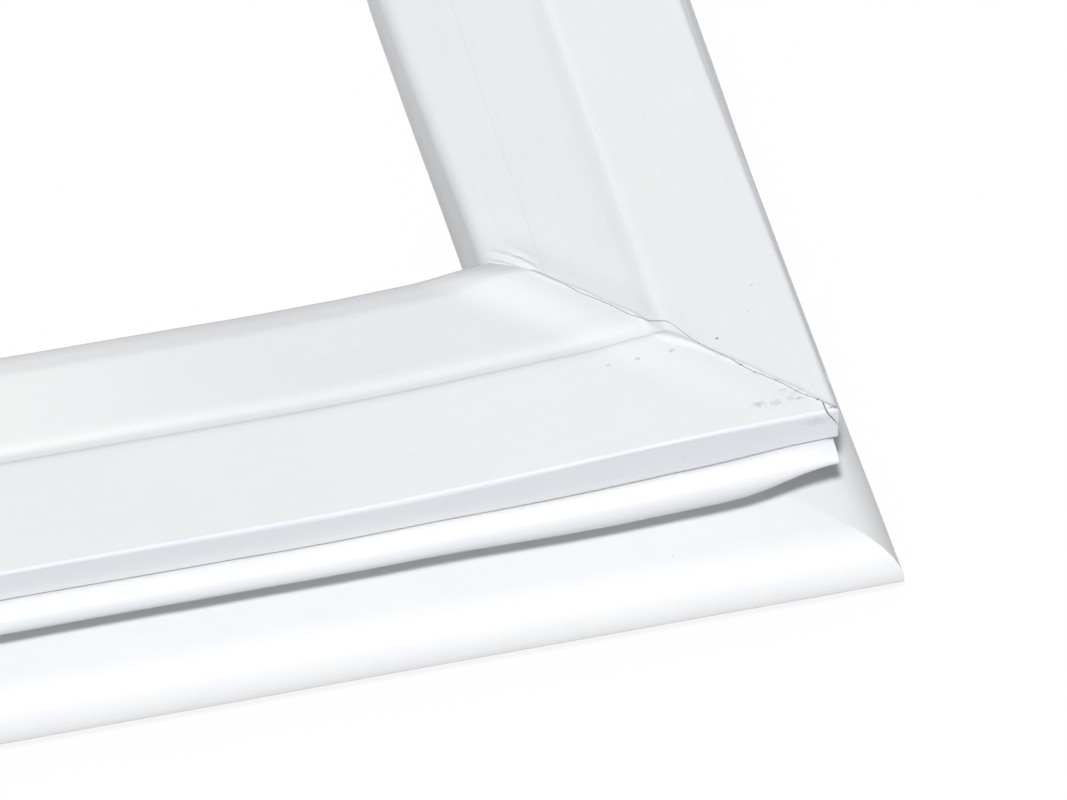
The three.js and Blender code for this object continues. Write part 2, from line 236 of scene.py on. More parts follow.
class Section:
    """Levels and places of the section: u outward from the pocket's wall, z above the floor."""

    def __init__(self, profile):
        self.wall = profile.wall / MM
        self.petal_reach = profile.petal_reach / MM
        self.lobe_radius = profile.lobe_radius / MM
        self.settle_long = profile.settle_long / MM
        self.settle_short = profile.settle_short / MM
        self.weld_height = profile.weld_height / MM
        self.ripple = profile.ripple / MM
        self.bellows_height = profile.bellows_height / MM
        self.base_bottom = profile.dart_depth / MM
        self.base_top = self.base_bottom + profile.base_thickness / MM
        self.petal_tip = self.base_bottom - profile.petal_drop / MM
        self.pocket_bottom = self.base_top + self.bellows_height
        self.pocket_top = self.pocket_bottom + profile.pocket_height / MM
        self.lobe_u = LOBE_PROUD - self.lobe_radius
        self.lobe_z = self.pocket_bottom - LOBE_GAP - self.lobe_radius
        self.lobe_start_u = self.lobe_u + self.lobe_radius * math.cos(LOBE_START)
        self.lobe_start_z = self.lobe_z + self.lobe_radius * math.sin(LOBE_START)
        self.lobe_root_u = self.lobe_u + self.lobe_radius * math.cos(LOBE_END)
        self.neck_u = self.lobe_start_u - LOBE_NECK
        self.foot_u = -FOOT_INSET
        self.fold_u = self.foot_u - FOLD_DEPTH
        self.crease_u = -profile.pocket_width / MM
        self.panel_u = self.crease_u - PANEL_WIDTH
        self.panel_z = self.pocket_top - PANEL_FALL
        self.band_u = self.panel_u - BAND_WIDTH
        self.band_z = self.panel_z - BAND_FALL
        self.rim_u = self.panel_u - RIM_REACH
        self.rim_z = self.pocket_top - RIM_HEIGHT
        self.base_u = self.rim_u + BASE_SETBACK
        self.bulge_z = (self.base_bottom + self.rim_z) / 2
        self.half_x = FRAME_HIGH.x / MM - self.petal_reach
        self.half_y = FRAME_HIGH.y / MM - self.petal_reach

    def side_sizes(self, side_index):
        """Half of a side's length, and its distance from the middle of the frame."""
        if side_index % 2 == 0:
            return self.half_x, self.half_y
        return self.half_y, self.half_x


class Outline:
    """A closed outline drawn by lines, rounded corners and arcs, sampled as it goes."""

    def __init__(self, u, z):
        self.points = [(u, z)]

    def line(self, u, z, pitch=WALL_PITCH):
        u0, z0 = self.points[-1]
        steps = max(1, math.ceil(math.hypot(u - u0, z - z0) / pitch))
        for step in range(1, steps + 1):
            share = step / steps
            self.points.append((u0 + (u - u0) * share, z0 + (z - z0) * share))

    def curve(self, control_u, control_z, u, z, pitch=WALL_PITCH):
        u0, z0 = self.points[-1]
        first = math.atan2(control_z - z0, control_u - u0)
        last = math.atan2(z - control_z, u - control_u)
        turn = abs(math.remainder(last - first, 2 * math.pi))
        reach = math.hypot(control_u - u0, control_z - z0) + math.hypot(u - control_u, z - control_z)
        steps = max(3, math.ceil(turn / FACET_TURN), math.ceil(reach / pitch))
        for step in range(1, steps + 1):
            t = step / steps
            self.points.append((
                (1 - t) ** 2 * u0 + 2 * t * (1 - t) * control_u + t * t * u,
                (1 - t) ** 2 * z0 + 2 * t * (1 - t) * control_z + t * t * z,
            ))

    def arc(self, centre_u, centre_z, radius_u, radius_z, start, end):
        steps = max(3, math.ceil(abs(end - start) / FACET_TURN))
        for step in range(steps + 1):
            angle = start + (end - start) * step / steps
            self.points.append((
                centre_u + radius_u * math.cos(angle),
                centre_z + radius_z * math.sin(angle),
            ))

    def corners(self, corners, pitch=WALL_PITCH):
        """Corners (u, z, radius), joined by lines with rounded turns; the last one is sharp."""
        for index, (u, z, radius) in enumerate(corners):
            if radius == 0 or index + 1 == len(corners):
                self.line(u, z, pitch)
                continue
            here = Vector((u, z))
            back = here + (Vector(self.points[-1]) - here).normalized() * radius
            ahead = here + (Vector(corners[index + 1][:2]) - here).normalized() * radius
            self.line(back.x, back.y, pitch)
            self.curve(u, z, ahead.x, ahead.y)

    def closed(self):
        kept = []
        for point in self.points:
            if not kept or math.dist(point, kept[-1]) > 1e-3:
                kept.append(point)
        while math.dist(kept[0], kept[-1]) < 1e-3:
            kept.pop()
        return np.array(kept)


def dart_corners(section, sign):
    """Half of the dart, from the base down to the tip."""
    stem = DART_STEM / 2
    pitch = (section.base_bottom - DART_NECK) / DART_BARBS
    middle = -DART_INSET
    corners = [(middle + sign * stem, section.base_bottom, 0.3)]
    for barb in range(DART_BARBS):
        top = section.base_bottom - DART_NECK - barb * pitch
        span = DART_BARB_SPAN / 2 - barb * DART_BARB_TAPER
        last = barb == DART_BARBS - 1
        corners.append((middle + sign * stem, top, 0.2))
        corners.append((middle + sign * span, top - DART_BARB_SLOPE, 0.15))
        if last:
            corners.append((middle + sign * DART_TIP / 2, 0.0, 0.2))
        else:
            corners.append((middle + sign * stem, top - pitch + DART_BARB_ROOT, 0.1))
    return corners


def profile_outline(section):
    """The outside of the profile, anticlockwise from the dart's tip."""
    s = section
    right_dart = dart_corners(s, 1)[::-1]
    outline = Outline(-DART_INSET, 0.0)
    petal_root = s.petal_reach - PETAL_CURL
    outline.corners(right_dart + [(petal_root, s.base_bottom, 0)])
    inner_curl = PETAL_CURL - PETAL_THICKNESS
    inner_drop = s.base_bottom - s.petal_tip
    tip = PETAL_THICKNESS / 2
    outline.arc(petal_root, s.petal_tip + tip, inner_curl, inner_drop - tip, math.pi / 2, 0)
    outline.arc(s.petal_reach - tip, s.petal_tip + tip, tip, tip, -math.pi, 0)
    outer_drop = s.base_top - s.petal_tip
    outline.arc(petal_root, s.petal_tip + tip, PETAL_CURL, outer_drop - tip, 0, math.pi / 2)
    outline.corners([
        (s.foot_u, s.base_top, 0.6),
        (s.fold_u, s.base_top + FOLD_HEIGHT, 0.6),
        (s.neck_u, s.lobe_start_z - 0.2, 0.5),
        (s.lobe_start_u, s.lobe_start_z, 0),
    ])
    outline.arc(s.lobe_u, s.lobe_z, s.lobe_radius, s.lobe_radius, LOBE_START, LOBE_END)
    outline.corners([
        (s.lobe_root_u, s.pocket_bottom, 0.1),
        (0, s.pocket_bottom, POCKET_BOTTOM_EDGE),
        (0, s.pocket_top, POCKET_TOP_EDGE),
        (-POCKET_TOP_EDGE, s.pocket_top, 0),
    ], pitch=0.7)
    crease, top = s.crease_u, s.pocket_top
    outline.line(crease + CREASE_OUTER, top, TOP_PITCH)
    outline.curve(crease + CREASE_OUTER / 3, top, crease + 0.2, top - 0.9 * CREASE_DEPTH, 0.15)
    outline.curve(crease, top - 1.05 * CREASE_DEPTH, crease - 0.35, top - 0.85 * CREASE_DEPTH, 0.12)
    outline.line(crease - CREASE_INNER + 0.4, top - 0.15 * CREASE_DEPTH, 0.3)
    outline.curve(crease - CREASE_INNER, top, crease - CREASE_INNER - 0.6, top - 0.02, 0.25)
    outline.line(s.panel_u + 0.5, s.panel_z + 0.5 * PANEL_FALL / PANEL_WIDTH, TOP_PITCH)
    outline.curve(s.panel_u, s.panel_z, s.panel_u - 0.4, s.panel_z - 0.1, 0.2)
    outline.line(s.band_u + 0.3, s.band_z + 0.075, 0.35)
    outline.curve(s.band_u, s.band_z, s.band_u - 0.3, s.band_z - 0.12, 0.15)
    outline.curve(s.rim_u, s.band_z - BAND_FALL, s.rim_u, s.rim_z, TOP_PITCH)
    outline.curve(s.rim_u - INNER_BULGE, s.bulge_z, s.base_u, s.base_top, 1.0)
    outline.corners([(s.base_u, s.base_bottom, 0.4)] + dart_corners(s, -1))
    return outline.closed()


def chamber_outline(section):
    """The bellows chamber: under the pocket and the inner panel, and into the lobe."""
    s = section
    wall = s.wall
    bore = s.lobe_radius - wall
    bore_end_z = s.lobe_z + bore * math.sin(LOBE_END)
    outline = Outline((s.base_u + s.foot_u) / 2, s.base_top)
    outline.corners([
        (s.foot_u - 1.2 * wall, s.base_top, 0.4),
        (s.fold_u - 1.75 * wall, s.base_top + FOLD_HEIGHT + wall / 3, 0.6),
        (s.neck_u - wall / 2, s.lobe_z + bore * math.sin(LOBE_START) - 0.1, 0.3),
        (s.lobe_u + bore * math.cos(LOBE_START), s.lobe_z + bore * math.sin(LOBE_START), 0),
    ], pitch=3)
    outline.arc(s.lobe_u, s.lobe_z, bore, bore, LOBE_START, LOBE_END)
    outline.corners([
        (s.lobe_root_u - wall, bore_end_z, 0.3),
        (s.lobe_root_u - 1.4 * wall, s.pocket_bottom, 0.3),
        (s.crease_u, s.pocket_bottom, 0.3),
        (s.crease_u - CREASE_INNER / 3, s.pocket_top - 1.4 * wall, 0.4),
        (s.panel_u, s.panel_z - wall, 0.3),
        (s.band_u + wall / 3, s.band_z - wall, 0),
    ], pitch=3)
    outline.curve(s.rim_u + wall, s.band_z - BAND_FALL - wall / 3, s.rim_u + wall, s.rim_z)
    outline.curve(s.rim_u - INNER_BULGE + wall, s.bulge_z, s.base_u + wall, s.base_top + 0.3)
    return outline.closed()


def bore_outline(section):
    """The magnet pocket's bore."""
    s = section
    low = s.pocket_bottom + s.wall
    high = s.pocket_top - s.wall
    inner = s.crease_u + POCKET_WEB
    outline = Outline(inner, low)
    outline.corners([(-s.wall, low, 0), (-s.wall, high, 0), (inner, high, 0)], pitch=3)
    return outline.closed()


def lobe_end_outline(section):
    """The block that trims a lobe short."""
    s = section
    low = s.lobe_z - s.lobe_radius - 0.6
    high = s.pocket_bottom - LOBE_GAP / 2
    reach = LOBE_PROUD + 1
    outline = Outline(s.lobe_root_u, low)
    outline.corners([(reach, low, 0), (reach, high, 0), (s.lobe_root_u, high, 0)], pitch=3)
    return outline.closed()


def smoothstep(value, start, end):
    share = np.clip((value - start) / (end - start), 0, 1)
    return share * share * (3 - 2 * share)


def ease_up_to(value, length, easing=7.0):
    """The value while it is well under length, easing into length."""
    share = np.clip((value - length + easing) / (2 * easing), 0, 1)
    return np.minimum(value, length - easing) + 2 * easing * (share - share * share / 2)


def wander(place, seed):
    """A smooth wandering value between about -1 and 1 along place."""
    waves = ((0.9, 0.5), (1.7, 0.3), (3.1, 0.2))
    return sum(share * np.sin(rate * place + seed * (index + 1.7))
               for index, (rate, share) in enumerate(waves))


def corner_stations(half):
    """Distances from a corner to the middle of a side, close together near the weld."""
    distances = [0.0]
    step = STATION_START
    while distances[-1] < half:
        longest = STATION_NEAR if distances[-1] < NEAR_END else STATION_LONGEST
        distances.append(distances[-1] + min(step, longest))
        step *= STATION_GROWTH
    stretch = (half - NEAR_END) / (distances[-1] - NEAR_END)
    return [distance if distance <= NEAR_END else NEAR_END + (distance - NEAR_END) * stretch
            for distance in distances]


def lobe_level(section, u, z, from_corner):
    """Levels with the lobe's own give: pinched at its end, swollen and sagging behind it."""
    s = section
    share = smoothstep(u, s.fold_u, s.lobe_start_u)
    behind = smoothstep(from_corner, 0, SAG_FULL) * (1 - smoothstep(from_corner, SAG_EASE, SAG_END))
    pinch = LOBE_PINCH * (1 - smoothstep(from_corner, 0, PINCH_LENGTH))
    lobe_top = s.lobe_z + s.lobe_radius
    in_bellows = (z > s.base_top) & (z < lobe_top)
    pinched = lobe_top - (lobe_top - z) * (1 - share * (pinch - LOBE_SWELL * behind))
    level = np.where(in_bellows, pinched, z)
    floor_share = 1 - smoothstep(z, s.pocket_bottom, s.pocket_bottom + s.wall)
    above_base = smoothstep(z, s.base_top, s.base_top + FOLD_HEIGHT)
    return level - LOBE_SAG * share * behind * floor_share * above_base


def place(section, side_index, share, u, z, outer):
    """Points of section places (u, z) at stations along a side, share -1 to 1 of its half."""
    s = section
    side = SIDES[side_index]
    half, across = s.side_sizes(side_index)
    short = side_index % 2 == 1
    run = share * (half + u)
    from_corner = half - np.abs(run)
    from_weld = (1 - np.abs(share)) * (half + u)
    level = lobe_level(s, u, z, from_corner)
    yielding = np.clip((z - s.base_top) / s.bellows_height, 0, 1)
    held = smoothstep(u, s.rim_u, s.panel_u) * (1 - smoothstep(from_weld, 0, WELD_HOLD))
    settled = yielding * smoothstep(from_corner, 0, SETTLE_LENGTH) * (1 - held)
    mean_settle = (s.settle_long + s.settle_short) / 2
    own_give = smoothstep(from_weld, 0, WELD_HOLD)
    own_settle = s.settle_short if short else s.settle_long
    level = level - settled * (mean_settle + (own_settle - mean_settle) * own_give)
    out = across + u
    if short:
        inside = 1 - smoothstep(u, s.rim_u, s.crease_u)
        out = out - SHORT_BOW * ease_up_to(from_weld, SETTLE_LENGTH)
        out = out - SHORT_SPREAD * ease_up_to(from_weld, SPREAD_LENGTH) * inside * yielding
    if outer:
        corner = (side_index + (share > 0)) % 4
        falling = np.clip((u + PETAL_FALL_START) / (PETAL_FALL_START + 1), 0, 1) ** 2
        level = level - PETAL_FALL * falling * (z <= s.base_top)
        level = level + weld_relief(s, u, z, from_weld, corner, short)
        level = level + soft_relief(s, u, z, run, yielding, side_index) * own_give
        out = out + wall_relief(s, u, z, run, yielding, side_index) * own_give
    x = side["along"][0] * run + side["out"][0] * out
    y = side["along"][1] * run + side["out"][1] * out
    return np.stack([x, y, level], axis=-1)


def weld_wander(u, corner):
    """How far the weld's line strays from the mitre, across it."""
    stray = sum(size * np.sin(rate * u + phase) for rate, phase, size in WELD_WANDERS)
    flash = np.exp(-((u - FLASH_PLACE) / FLASH_LENGTH) ** 2) * (corner == FIRST_CORNER)
    return stray + FLASH_SHIFT * flash


def weld_relief(section, u, z, from_weld, corner, short):
    """Height of the weld's ridge and flash, and of the folds at its inner end."""
    s = section
    beside = from_weld / math.sqrt(2) * (-1 if short else 1)
    stray = weld_wander(u, corner)
    height = s.weld_height * (0.8 + 0.4 * wander(u * 1.9, 0.4))
    ridge = height * np.exp(-((beside - stray) / WELD_WIDTH) ** 2)
    flash = np.exp(-((u - FLASH_PLACE - 0.4) / FLASH_LENGTH) ** 2)
    flash = flash * np.exp(-((beside - stray * 0.5) / 0.45) ** 2) * (corner == FIRST_CORNER)
    on_top = smoothstep(u, s.panel_u - 0.4, s.panel_u + 0.8) * (u < 0) * (z > s.pocket_top - 1)
    folded = smoothstep(u, s.rim_u, s.band_u) * (1 - smoothstep(u, s.panel_u, s.panel_u + 0.8))
    folded = folded * (z > s.pocket_top - 2) * np.exp(-(from_weld / FOLD_SPREAD) ** 2)
    folds = FOLD_HEIGHT_AT_RIM * np.sin(from_weld * 4.4 + u * 1.3 + 1.0) * folded * short
    return (ridge + FLASH_HEIGHT * flash) * on_top + folds


def soft_relief(section, u, z, run, yielding, side_index):
    """Slow unevenness of the top faces."""
    seed = 1.3 + 2.1 * side_index
    top = yielding * (z > section.pocket_top - 1.2)
    return section.ripple * top * (
        0.5 * wander(run * 0.11 + u * 0.2, seed) + 0.25 * wander(run * 0.31 - u * 0.35, seed + 1.0))


def wall_relief(section, u, z, run, yielding, side_index):
    """Slow unevenness of the walls, the lobe and the rim."""
    seed = 0.4 + 1.7 * side_index
    standing = yielding * (z < section.pocket_top - 0.3)
    petal = (z < section.base_top) * (u > 0) * 0.5
    return section.ripple * (standing + petal) * (
        wander(run * 0.13 + z * 0.25, seed) + 0.4 * wander(run * 0.4 + z * 0.1, seed + 2.0))


def rings(section, outline, side_index, shares, outer):
    share = np.array(shares)[:, None]
    u = np.broadcast_to(outline[:, 0][None, :], (len(shares), len(outline)))
    z = np.broadcast_to(outline[:, 1][None, :], (len(shares), len(outline)))
    return place(section, side_index, share, u, z, outer)


def tube_faces(count, width, closed):
    ring = np.arange(count if closed else count - 1)[:, None] * width
    ahead = (ring + width) % (count * width)
    here = np.arange(width)[None, :]
    beside = (here + 1) % width
    return np.stack([ring + here, ahead + here, ahead + beside, ring + beside], axis=-1).reshape(-1, 4)


def mesh_from(name, points, faces):
    mesh = bpy.data.meshes.new(name)
    mesh.from_pydata((points.reshape(-1, 3) * MM).tolist(), [], faces)
    mesh.validate()
    return mesh


def loop_mesh(name, section, outline, outer=False):
    """A closed tube: the outline swept round the four sides, mitred at the corners."""
    parts = []
    for index in range(4):
        half = section.side_sizes(index)[0]
        shares = [distance / half - 1 for distance in corner_stations(half)]
        shares += [-share for share in shares[-2:0:-1]]
        parts.append(rings(section, outline, index, shares, outer))
    points = np.concatenate(parts)
    faces = tube_faces(len(points), len(outline), True)
    return mesh_from(name, points, faces.tolist())


def length_mesh(name, section, outline, side_index, end, distances):
    """A length of the swept outline with flat ends; end is -1 at a side's start, 1 at its end."""
    half = section.side_sizes(side_index)[0]
    shares = sorted(end * (1 - distance / half) for distance in distances)
    points = rings(section, outline, side_index, shares, False)
    width = len(outline)
    faces = tube_faces(len(shares), width, False).tolist()
    faces.append(list(range(width)))
    faces.append(list(range(len(shares) * width - 1, (len(shares) - 1) * width - 1, -1)))
    return mesh_from(name, points, faces)


def box_mesh(name, low, high, section, sign_x, sign_y, turn=0.0):
    """A box between two corners, millimetres, from the frame's corner that the signs name."""
    built = bmesh.new()
    bmesh.ops.create_cube(built, size=1)
    size = Vector(high) - Vector(low)
    middle = (Vector(high) + Vector(low)) / 2
    for vert in built.verts:
        x, y, z = vert.co.x * size.x, vert.co.y * size.y, vert.co.z * size.z
        x, z = x * math.cos(turn) + z * math.sin(turn), z * math.cos(turn) - x * math.sin(turn)
        vert.co = Vector((
            sign_x * (section.half_x + middle.x + x),
            sign_y * (section.half_y + middle.y + y),
            middle.z + z,
        )) * MM
    if sign_x * sign_y < 0:
        bmesh.ops.reverse_faces(built, faces=built.faces)
    mesh = bpy.data.meshes.new(name)
    built.to_mesh(mesh)
    built.free()
    return mesh


def corner_cuts(section):
    """Square lobe ends and the slit at the pocket's tip, at all four corners."""
    s = section
    clear = LOBE_PROUD + 1
    low = s.lobe_z - s.lobe_radius - 0.6
    high = s.pocket_bottom - LOBE_GAP / 2
    length = math.hypot(SLIT_ALONG, SLIT_FALL) + 1
    turn = math.atan2(SLIT_FALL, SLIT_ALONG)
    cuts = []
    for sign_x in (-1, 1):
        for sign_y in (-1, 1):
            cuts.append(box_mesh(
                "lobe_end", (-LOBE_TRIM_RUNNING, -LOBE_TRIM_RUNNING, low), (clear, clear, high),
                s, sign_x, sign_y))
            middle = Vector((-SLIT_ALONG / 2, 0, s.pocket_top - SLIT_FALL / 2))
            reach = Vector((length / 2, 2 * s.wall, SLIT_WIDTH / 2))
            cuts.append(box_mesh("tip_slit", middle - reach, middle + reach, s, sign_x, sign_y, turn))
    distances = [distance for distance in corner_stations(s.half_y) if distance < LOBE_TRIM_SHORT]
    for side_index in (1, 3):
        for end in (-1, 1):
            cuts.append(length_mesh(
                "short_lobe_end", s, lobe_end_outline(s), side_index, end,
                [*distances, LOBE_TRIM_SHORT]))
    return cuts


def cut_mesh(mesh, cutters):
    """The mesh with each cutter taken out of it."""
    scene = bpy.context.scene
    body = bpy.data.objects.new("gasket_cutting", mesh)
    scene.collection.objects.link(body)
    tools = []
    for cutter in cutters:
        tool = bpy.data.objects.new("gasket_cutter", cutter)
        scene.collection.objects.link(tool)
        tools.append(tool)
        cut = body.modifiers.new("cut", "BOOLEAN")
        cut.operation = "DIFFERENCE"
        cut.solver = "MANIFOLD"
        cut.object = tool
    graph = bpy.context.evaluated_depsgraph_get()
    result = bpy.data.meshes.new_from_object(body.evaluated_get(graph))
    for thing in [body, *tools]:
        data = thing.data
        bpy.data.objects.remove(thing)
        bpy.data.meshes.remove(data)
    if len(result.polygons) == 0:
        raise RuntimeError("the cut left nothing of the gasket")
    return result


class Wiring:
    """Short ways to add and link nodes in one tree."""

    def __init__(self, tree):
        self.tree = tree

    def node(self, kind, settings=None, **inputs):
        made = self.tree.nodes.new(kind)
        for name, value in (settings or {}).items():
            setattr(made, name, value)
        for name, value in inputs.items():
            self.feed(made.inputs[name.replace("_", " ")], value)
        return made

    def feed(self, socket, value):
        if isinstance(value, bpy.types.NodeSocket):
            self.tree.links.new(value, socket)
        else:
            socket.default_value = value

    def math(self, operation, *values, clamp=False):
        made = self.node("ShaderNodeMath", {"operation": operation, "use_clamp": clamp})
        for socket, value in zip(made.inputs, values):
            self.feed(socket, value)
        return made.outputs[0]

    def times(self, first, second):
        return self.math("MULTIPLY", first, second)

    def vector_math(self, operation, *values):
        made = self.node("ShaderNodeVectorMath", {"operation": operation})
        for socket, value in zip(made.inputs, values):
            self.feed(socket, value)
        return made.outputs[0]

    def smooth(self, value, low, high):
        """0 below low, 1 above high, smooth between; low may be above high."""
        made = self.node("ShaderNodeMapRange", {"interpolation_type": "SMOOTHSTEP"}, Value=value)
        falling = low > high
        made.inputs["From Min"].default_value = min(low, high)
        made.inputs["From Max"].default_value = max(low, high)
        made.inputs["To Min"].default_value = 1.0 if falling else 0.0
        made.inputs["To Max"].default_value = 0.0 if falling else 1.0
        return made.outputs["Result"]

    def bell(self, value, centre, width):
        """A bell of height 1 about centre."""
        away = self.math("DIVIDE", self.math("SUBTRACT", value, centre), width)
        return self.math("EXPONENT", self.math("MULTIPLY", self.math("MULTIPLY", away, away), -1.0))

    def blend(self, share, first, second, mode="MIX"):
        made = self.node("ShaderNodeMix", {"data_type": "RGBA", "blend_type": mode})
        self.feed(made.inputs["Factor"], share)
        self.feed(made.inputs[6], first)
        self.feed(made.inputs[7], second)
        return made.outputs[2]

    def noise(self, vector, scale, detail=2.0, roughness=0.5):
        made = self.node("ShaderNodeTexNoise", Vector=vector, Scale=scale, Detail=detail,
                         Roughness=roughness)
        return made.outputs["Fac"]

    def combine(self, x, y, z):
        return self.node("ShaderNodeCombineXYZ", X=x, Y=y, Z=z).outputs[0]

    def group(self, tree, **inputs):
        made = self.node("ShaderNodeGroup", {"node_tree": tree})
        for name, value in inputs.items():
            self.feed(made.inputs[name.replace("_", " ")], value)
        return made


def new_group(name, inputs, outputs):
    """A node group, its wiring, its inputs by name, and its output node."""
    tree = bpy.data.node_groups.new(name, "ShaderNodeTree")
    for socket_name, kind, default in inputs:
        socket = tree.interface.new_socket(socket_name, in_out="INPUT", socket_type=kind)
        if default is not None:
            socket.default_value = default
    for socket_name, kind in outputs:
        tree.interface.new_socket(socket_name, in_out="OUTPUT", socket_type=kind)
    start = tree.nodes.new("NodeGroupInput")
    end = tree.nodes.new("NodeGroupOutput")
    return tree, Wiring(tree), start.outputs, end.inputs


FLOAT = "NodeSocketFloat"
VECTOR = "NodeSocketVector"


def place_group(section):
    """Where a point lies on the profile: across it, from the corner, beside the mitre."""
    tree, w, _, out = new_group("gasket_place", [], [
        ("Millimetres", VECTOR), ("Across", FLOAT), ("From Corner", FLOAT), ("Beside", FLOAT),
        ("Height", FLOAT), ("Short Side", FLOAT), ("First Corner", FLOAT)])
    position = w.node("ShaderNodeTexCoord").outputs["Object"]
    millimetres = w.vector_math("MULTIPLY", position, (1000.0, 1000.0, 1000.0))
    parts = w.node("ShaderNodeSeparateXYZ", Vector=millimetres)
    x, y, height = parts.outputs
    beyond_x = w.math("SUBTRACT", w.math("ABSOLUTE", x), section.half_x)
    beyond_y = w.math("SUBTRACT", w.math("ABSOLUTE", y), section.half_y)
    from_weld = w.math("MAXIMUM", w.math("SUBTRACT", beyond_x, beyond_y), 0.0)
    from_weld = w.math("MINIMUM", from_weld, SETTLE_LENGTH)
    beyond_x = w.math("ADD", beyond_x, w.times(from_weld, SHORT_BOW))
    across = w.math("MAXIMUM", beyond_x, beyond_y)
    from_corner = w.times(w.math("MINIMUM", beyond_x, beyond_y), -1.0)
    beside = w.math("DIVIDE", w.math("SUBTRACT", beyond_x, beyond_y), math.sqrt(2))
    first = w.times(w.math("GREATER_THAN", x, 0.0), w.math("LESS_THAN", y, 0.0))
    w.feed(out["Millimetres"], millimetres)
    w.feed(out["Across"], across)
    w.feed(out["From Corner"], from_corner)
    w.feed(out["Beside"], beside)
    w.feed(out["Height"], height)
    w.feed(out["Short Side"], w.math("GREATER_THAN", beside, 0.0))
    w.feed(out["First Corner"], first)
    return tree


def weld_group(section):
    """The dark line that follows the weld, thin inward and speckled outward: partly dirt, partly
    painted shade in the weld's crack and along the flash's edge.
    """
    tree, w, given, out = new_group("gasket_weld_line", [
        ("Across", FLOAT, 0.0), ("Beside", FLOAT, 0.0), ("Height", FLOAT, 0.0),
        ("First Corner", FLOAT, 0.0)], [("Line", FLOAT), ("Halo", FLOAT)])
    across, beside = given["Across"], given["Beside"]
    stray = None
    for rate, phase, size in WELD_WANDERS:
        turn = w.math("ADD", w.times(across, rate), phase)
        wave = w.times(w.math("SINE", turn), size)
        stray = wave if stray is None else w.math("ADD", stray, wave)
    flash = w.times(w.bell(across, FLASH_PLACE, FLASH_LENGTH), given["First Corner"])
    upper = w.math("ADD", stray, w.times(flash, FLASH_SHIFT + 0.1))
    along = w.combine(across, 0.0, 0.0)
    jitter = w.times(w.math("SUBTRACT", w.noise(along, 2.2, 3.0), 0.5), 0.14)
    away = w.math("ABSOLUTE", w.math("SUBTRACT", beside, w.math("ADD", upper, jitter)))
    specks = w.smooth(w.noise(along, 1.7, 4.0, 0.7), 0.52, 0.66)
    outward = w.smooth(across, -10.6, -9.4)
    patchy = w.math("ADD", 0.7, w.times(w.times(specks, outward), 0.6))
    width = w.math("ADD", 0.085, w.times(w.times(specks, outward), 0.09))
    line = w.math("SUBTRACT", 1.0, w.math("DIVIDE", away, width), clamp=True)
    lower_away = w.math("ABSOLUTE", w.math("SUBTRACT", beside, stray))
    lower = w.math("SUBTRACT", 1.0, w.math("DIVIDE", lower_away, 0.06), clamp=True)
    lower = w.times(lower, flash)
    line = w.math("ADD", w.times(line, patchy), w.times(lower, 0.3), clamp=True)
    on_top = w.times(w.smooth(across, section.panel_u - 0.6, section.panel_u + 0.2),
                    w.smooth(given["Height"], section.pocket_top - 2.2, section.pocket_top - 1.4))
    w.feed(out["Line"], w.times(line, on_top))
    halo = w.times(w.bell(away, 0.0, 0.6), w.smooth(w.noise(along, 0.9, 3.0), 0.45, 0.7))
    w.feed(out["Halo"], w.times(halo, w.times(on_top, outward)))
    return tree


def spot_group():
    """A soft, ragged spot about a place, stretched along one axis."""
    tree, w, given, out = new_group("gasket_spot", [
        ("Point", VECTOR, None), ("Centre", VECTOR, None), ("Size", VECTOR, (1.0, 1.0, 1.0)),
        ("Raggedness", FLOAT, 0.5)], [("Mask", FLOAT)])
    offset = w.vector_math("SUBTRACT", given["Point"], given["Centre"])
    away = w.vector_math("DIVIDE", offset, given["Size"])
    distance = w.node("ShaderNodeVectorMath", {"operation": "LENGTH"})
    w.feed(distance.inputs[0], away)
    rough = w.math("SUBTRACT", w.noise(given["Point"], 2.6, 3.0, 0.65), 0.5)
    rough = w.times(rough, w.times(given["Raggedness"], 4.0))
    edge = w.math("ADD", distance.outputs["Value"], rough)
    w.feed(out["Mask"], w.smooth(edge, 1.1, 0.2))
    return tree


# Marks at the first corner: how far in from the two pocket walls, level below the top, size
# across each, ragged edge and strength. All lengths are millimetres.
CORNER_MARKS = (
    ("black_dot", (-7.96, 10.04, 0.0), (0.17, 0.13, 9.0), 0.1, 0.95),
    ("smudge_outer", (-6.45, 2.1, 0.0), (0.75, 0.33, 9.0), 0.75, 0.3),
    ("smudge_middle", (-5.0, 1.95, 0.0), (0.7, 0.4, 9.0), 0.8, 0.2),
    ("smudge_inner", (-3.7, 2.1, 0.0), (0.7, 0.3, 9.0), 0.8, 0.16),
    ("rub_under_weld", (-4.0, 3.2, 0.0), (0.6, 0.16, 9.0), 0.8, 0.3),
    ("rub_near_tip", (-2.9, 2.0, 0.0), (0.55, 0.14, 9.0), 0.8, 0.3),
    ("smudge_by_crease", (-14.98, 9.64, 0.0), (0.3, 0.2, 9.0), 0.6, 0.28),
    ("smudge_by_flash", (-12.05, 9.62, 0.0), (0.35, 0.25, 9.0), 0.7, 0.26),
    ("smudge_far", (-17.46, 9.73, 0.0), (0.25, 0.2, 9.0), 0.5, 0.3),
    ("speck_short_side", (-3.59, 15.34, 0.0), (0.14, 0.1, 9.0), 0.3, 0.4),
    ("speck_short_side_low", (-4.63, 12.48, 0.0), (0.12, 0.1, 9.0), 0.3, 0.3),
    ("tip_dirt", (-0.5, 0.35, 0.0), (0.55, 0.2, 9.0), 0.5, 0.5),
    ("wall_smudge", (-2.0, 0.0, 1.0), (1.1, 9.0, 0.5), 0.8, 0.12),
    ("wall_scratch", (-13.26, 0.0, 2.6), (0.12, 9.0, 0.4), 0.5, 0.1),
    ("petal_speck", (-14.27, -1.0, 13.7), (0.12, 0.2, 9.0), 0.3, 0.22),
)


